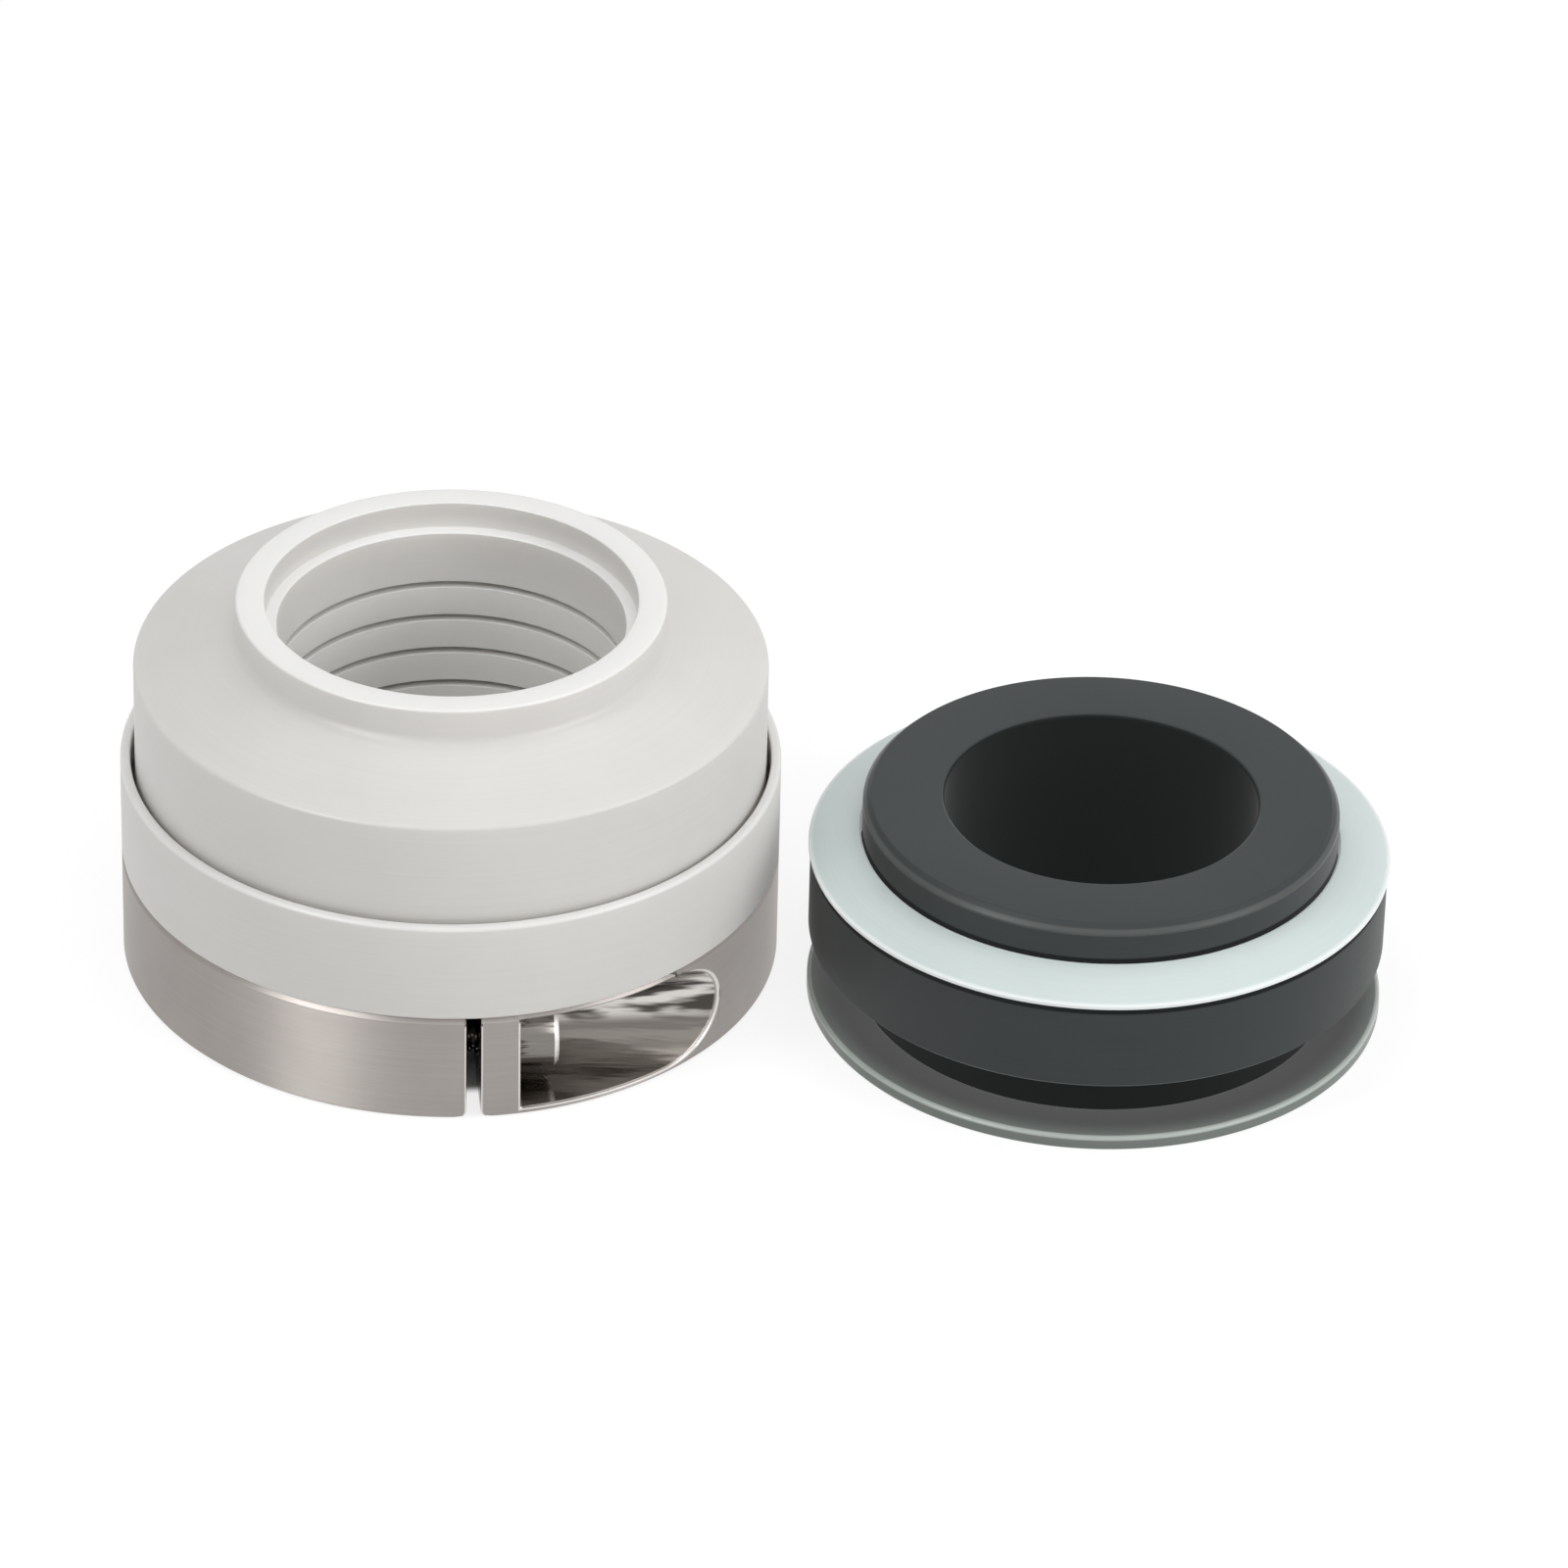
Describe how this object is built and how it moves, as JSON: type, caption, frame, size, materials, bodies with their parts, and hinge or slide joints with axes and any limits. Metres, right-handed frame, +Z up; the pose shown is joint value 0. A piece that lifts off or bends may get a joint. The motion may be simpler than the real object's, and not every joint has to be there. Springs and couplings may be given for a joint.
{
  "type": "mechanical seal",
  "caption": "Bellows seal for a pump shaft: a sprung white sealing head on a split clamp ring, and a dark flanged seat with two gaskets that stands beside it.",
  "frame": {"origin": "on the axis of the rotating half's shaft bore, in the plane of the clamp ring's underside, which is the plane both halves stand on", "axes": "+Z up along the shaft's axis towards the sealing nose, +X towards the stationary half, -Y towards the front, where the clamp ring's slot opens"},
  "size_m": [0.1259, 0.0698, 0.0396],
  "materials": {
    "white_ptfe": "smooth, faintly waxy",
    "gasket_ptfe": "smooth, slightly see-through at the edges",
    "stainless_ring": "fine turned",
    "screw_steel": "bright",
    "spring_steel": "drawn wire",
    "silicon_carbide": "satin, lapped on top"
  },
  "bodies": {
    "clamped_base": {"clamp_ring": "stainless_ring", "spring_cover": "white_ptfe", "rear_spring_seat": "stainless_ring", "spring_1": "spring_steel", "spring_2": "spring_steel", "spring_3": "spring_steel", "spring_4": "spring_steel", "spring_5": "spring_steel", "spring_6": "spring_steel", "spring_7": "spring_steel", "spring_8": "spring_steel", "spring_9": "spring_steel", "seat_ring": "silicon_carbide", "upper_gasket": "gasket_ptfe", "lower_gasket": "gasket_ptfe"},
    "sealing_head": {"bellows": "white_ptfe", "front_spring_seat": "stainless_ring", "drive_pin_1": "screw_steel", "drive_pin_2": "screw_steel", "drive_pin_3": "screw_steel"},
    "tightening_screw": {"clamp_screw": "screw_steel"}
  },
  "joints": [
    {"name": "face_travel", "type": "slide", "parent": "clamped_base", "child": "sealing_head", "axis": [0, 0, -1], "range_m": [0, 0.0035], "stiffness_N_per_m": 30000, "deforming": ["bellows", "spring_1", "spring_2", "spring_3", "spring_4", "spring_5", "spring_6", "spring_7", "spring_8", "spring_9"]},
    {"name": "screw_turn", "type": "hinge", "parent": "clamped_base", "child": "tightening_screw", "pos_m": [0.00688, -0.0259, 0.0059], "axis": [0.9962, 0.0872, 0], "range_deg": [0, 360]}
  ]
}
